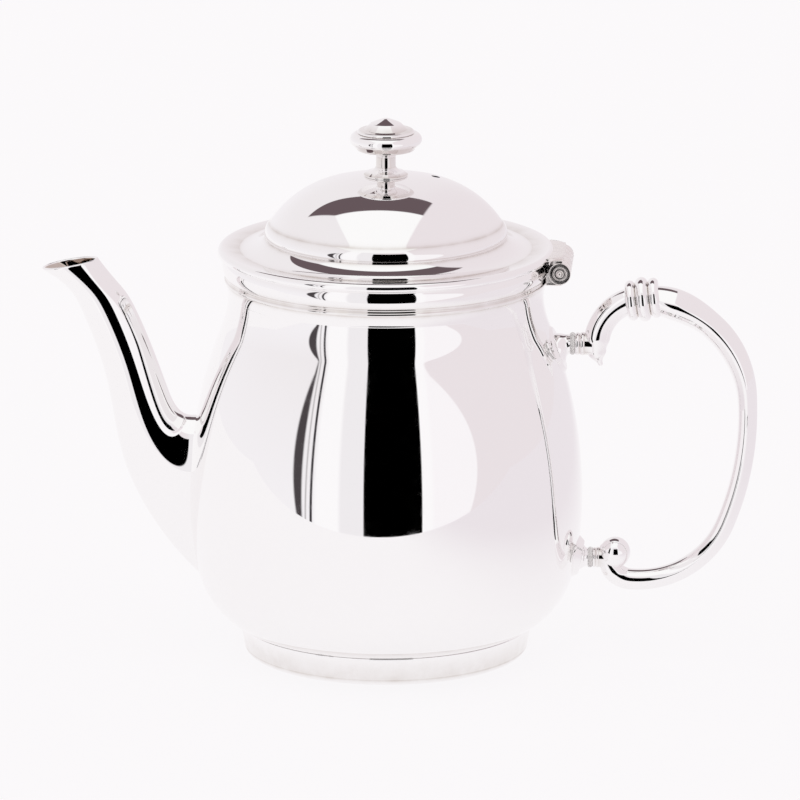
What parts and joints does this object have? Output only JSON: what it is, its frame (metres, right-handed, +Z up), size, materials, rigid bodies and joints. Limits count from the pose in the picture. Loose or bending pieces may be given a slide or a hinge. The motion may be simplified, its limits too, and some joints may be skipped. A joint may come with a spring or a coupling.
{
  "type": "teapot",
  "caption": "Pear-shaped silver teapot with a swan-neck spout, a C-scroll handle on insulated sockets and a hinged domed lid with a turned finial.",
  "frame": {"origin": "centre of the ring that the foot rests on, on the pot's turning axis", "axes": "+Z up, +X towards the handle and the lid's hinge, -X towards the spout"},
  "size_m": [0.2338, 0.1288, 0.1781],
  "materials": {
    "silver": "mirror-polished silver plate",
    "insulator": "pale satin washer",
    "fixing": "plain turned brass"
  },
  "bodies": {
    "pot": {"body_shell": "silver", "body_bottom": "silver", "foot_ring": "silver", "neck_collar": "silver", "spout": "silver", "body_hinge_leaf": "silver", "hinge_pin": "silver", "handle_arm": "silver", "handle_beads": "silver", "scroll_ball": "silver", "upper_socket": "silver", "upper_insulator": "insulator", "upper_ferrule": "silver", "upper_dowel": "fixing", "lower_socket": "silver", "lower_insulator": "insulator", "lower_ferrule": "silver", "lower_dowel": "fixing"},
    "lid": {"lid_shell": "silver", "lid_bezel": "silver", "lid_hinge_leaf": "silver", "finial_base": "silver", "finial_cup": "silver", "finial_cap": "silver", "finial_stud": "fixing", "finial_washer": "fixing", "finial_nut": "fixing"}
  },
  "joints": [
    {"name": "lid_hinge", "type": "hinge", "parent": "pot", "child": "lid", "pos_m": [0.0571, 0, 0.1301], "axis": [0, 1, 0], "range_deg": [0, 105]}
  ]
}
